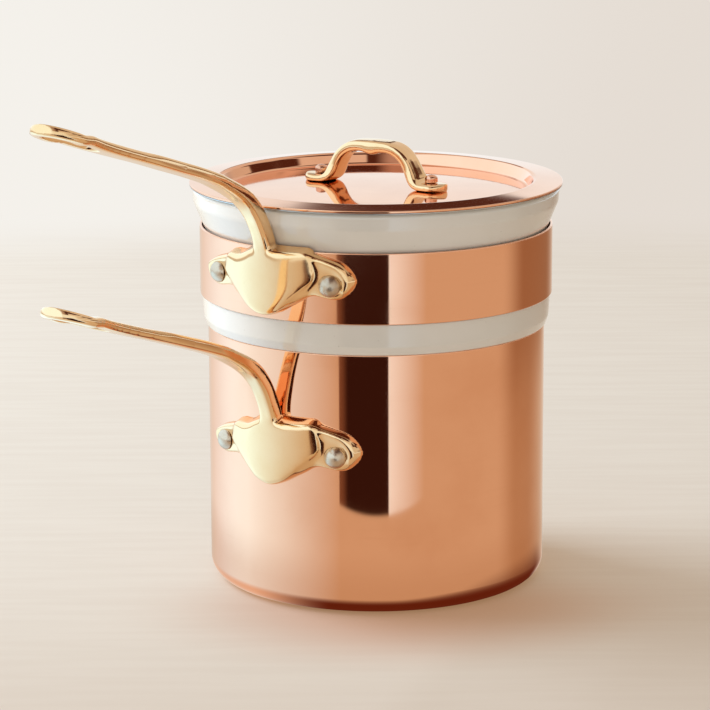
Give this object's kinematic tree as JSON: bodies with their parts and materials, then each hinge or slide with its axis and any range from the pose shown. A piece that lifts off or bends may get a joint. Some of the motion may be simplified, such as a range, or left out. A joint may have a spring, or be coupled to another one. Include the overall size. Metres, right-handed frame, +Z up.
{
  "type": "double boiler",
  "caption": "Copper double boiler: a tall saucepan, a porcelain insert in a copper hoop, a lift-off lid with an arch handle, and long cast handles.",
  "frame": {"origin": "centre of the pot's base", "axes": "+Z up along the pot's axis, both long handles point along -X"},
  "size_m": [0.2545, 0.1368, 0.1913],
  "materials": {
    "copper": "polished",
    "stainless": "satin",
    "brass": "polished",
    "rivet_steel": "satin",
    "rivet_copper": "polished",
    "porcelain": "gloss",
    "bedding": "matte"
  },
  "bodies": {
    "pot": {"pot_shell": "copper", "pot_lining": "stainless", "pot_handle": "brass", "pot_rivet_left": "rivet_steel", "pot_rivet_right": "rivet_steel"},
    "insert": {"insert": "porcelain", "band": "copper", "band_bedding": "bedding", "band_handle": "brass", "band_rivet_left": "rivet_steel", "band_rivet_right": "rivet_steel"},
    "lid": {"lid_shell": "copper", "lid_lining": "stainless", "lid_handle": "brass", "lid_rivet_left": "rivet_copper", "lid_rivet_right": "rivet_copper"}
  },
  "joints": [
    {"name": "insert_lift", "type": "slide", "parent": "pot", "child": "insert", "axis": [0, 0, 1], "range_m": [0, 0.1]},
    {"name": "lid_lift", "type": "slide", "parent": "insert", "child": "lid", "axis": [0, 0, 1], "range_m": [0, 0.08]}
  ]
}
